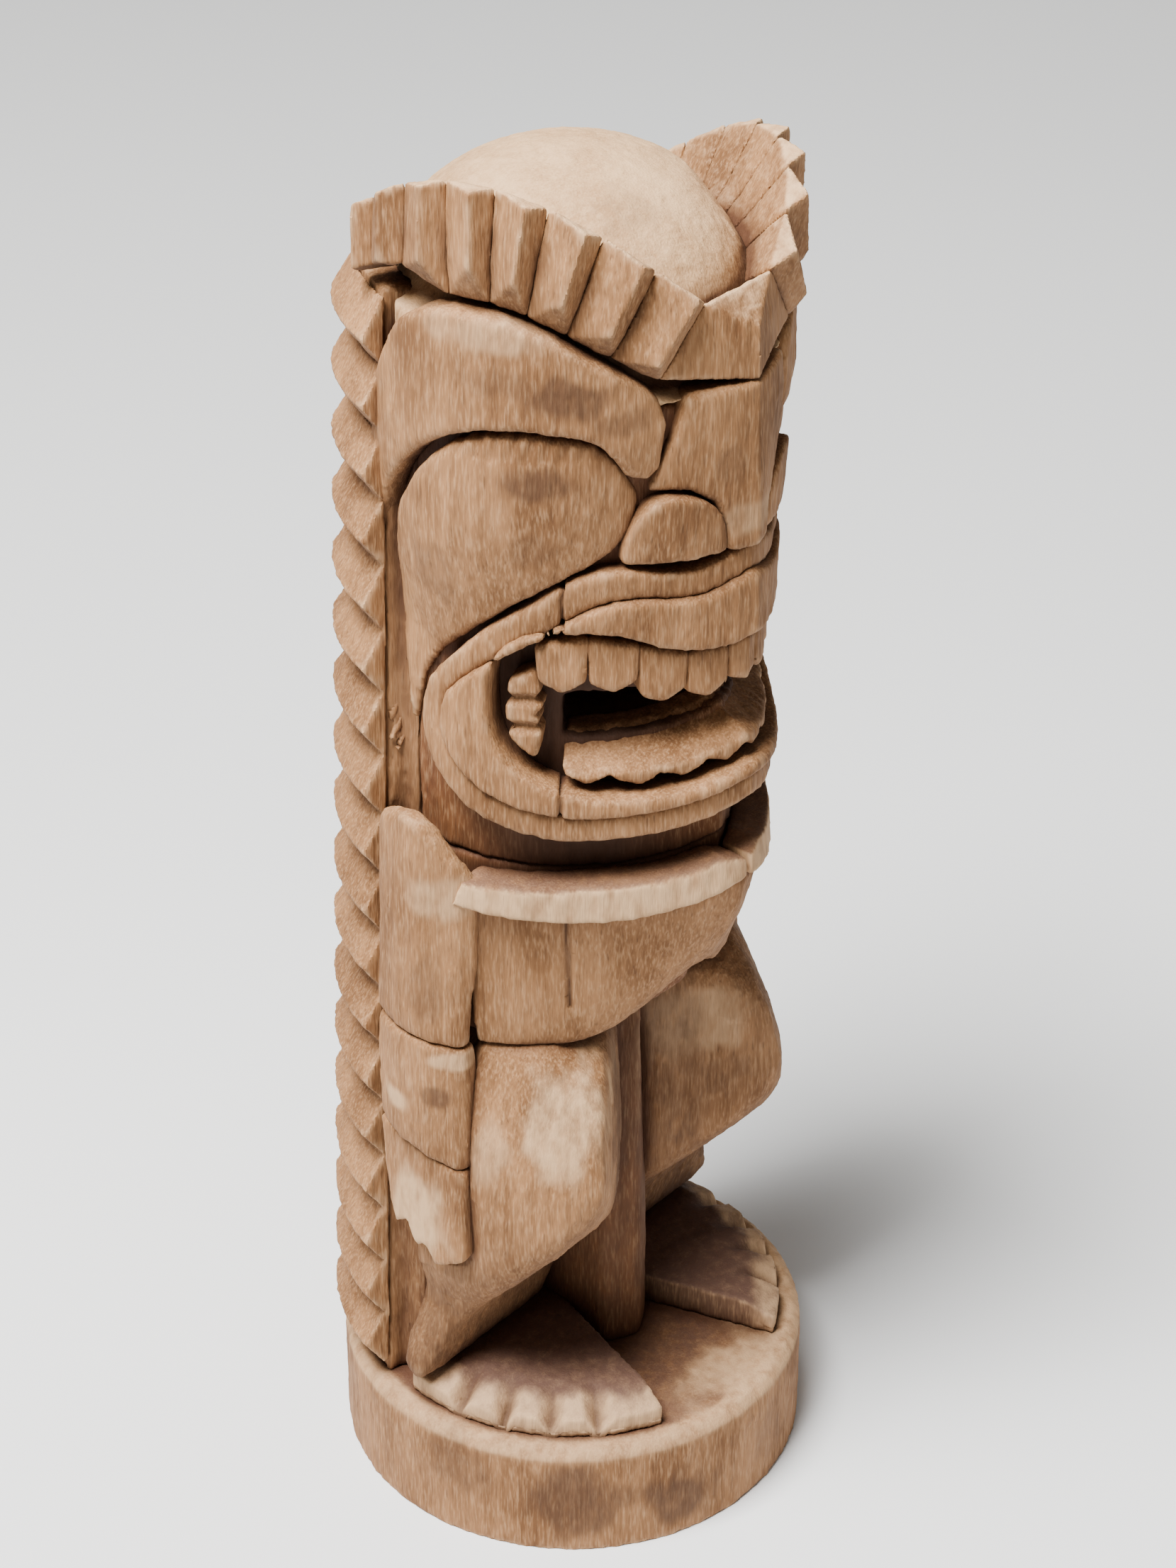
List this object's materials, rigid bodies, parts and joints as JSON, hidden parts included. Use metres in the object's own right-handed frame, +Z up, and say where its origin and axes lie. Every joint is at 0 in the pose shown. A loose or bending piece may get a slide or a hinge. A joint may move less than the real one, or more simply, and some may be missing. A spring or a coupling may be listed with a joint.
{
  "type": "carved wooden tiki figure",
  "caption": "Carved log figure with a toothed crest, mask face with open mouth, bent legs and notched back edges, on a round plinth.",
  "frame": {"origin": "centre of the plinth's underside", "axes": "+Z up along the log, -Y the way the figure faces, +X the figure's own left"},
  "size_m": [0.163, 0.163, 0.5],
  "materials": {
    "tan_wood": "bare carved wood, tool marks left",
    "pale_wood": "bare carved wood, paler and slightly furry end grain",
    "brown_wood": "bare carved wood, red-brown in the recesses",
    "dark_cut": "rough dark bottom of deep cuts",
    "plum_wood": "bare wood with a purple-grey weathered top"
  },
  "bodies": {
    "root": {"back": "tan_wood", "belly": "tan_wood", "belly_core": "brown_wood", "brow_left": "tan_wood", "brow_right": "tan_wood", "chest_left": "pale_wood", "chest_right": "pale_wood", "corner_teeth_left": "pale_wood", "corner_teeth_right": "pale_wood", "crest_front": "tan_wood", "crest_left_1": "tan_wood", "crest_left_2": "tan_wood", "crest_left_3": "tan_wood", "crest_left_4": "tan_wood", "crest_left_5": "tan_wood", "crest_left_6": "tan_wood", "crest_left_7": "tan_wood", "crest_left_8": "tan_wood", "crest_right_1": "tan_wood", "crest_right_2": "tan_wood", "crest_right_3": "tan_wood", "crest_right_4": "tan_wood", "crest_right_5": "tan_wood", "crest_right_6": "tan_wood", "crest_right_7": "tan_wood", "crest_right_8": "tan_wood", "eye_left": "tan_wood", "eye_right": "tan_wood", "foot_left": "plum_wood", "foot_right": "plum_wood", "forearm_left": "tan_wood", "forearm_right": "tan_wood", "hand_left": "tan_wood", "hand_right": "tan_wood", "head_core": "dark_cut", "hip_column": "brown_wood", "leg_left": "tan_wood", "leg_right": "tan_wood", "lip_inner": "tan_wood", "lip_outer": "tan_wood", "lower_teeth": "pale_wood", "mane_left": "tan_wood", "mane_right": "tan_wood", "nose": "tan_wood", "nostril_left": "tan_wood", "nostril_right": "tan_wood", "plinth": "tan_wood", "skull": "pale_wood", "upper_arm_left": "tan_wood", "upper_arm_right": "tan_wood", "upper_tooth_1": "pale_wood", "upper_tooth_2": "pale_wood", "upper_tooth_3": "pale_wood", "upper_tooth_4": "pale_wood", "upper_tooth_5": "pale_wood", "upper_tooth_6": "pale_wood", "upper_tooth_7": "pale_wood", "upper_tooth_8": "pale_wood", "upper_tooth_9": "pale_wood"}
  },
  "joints": []
}
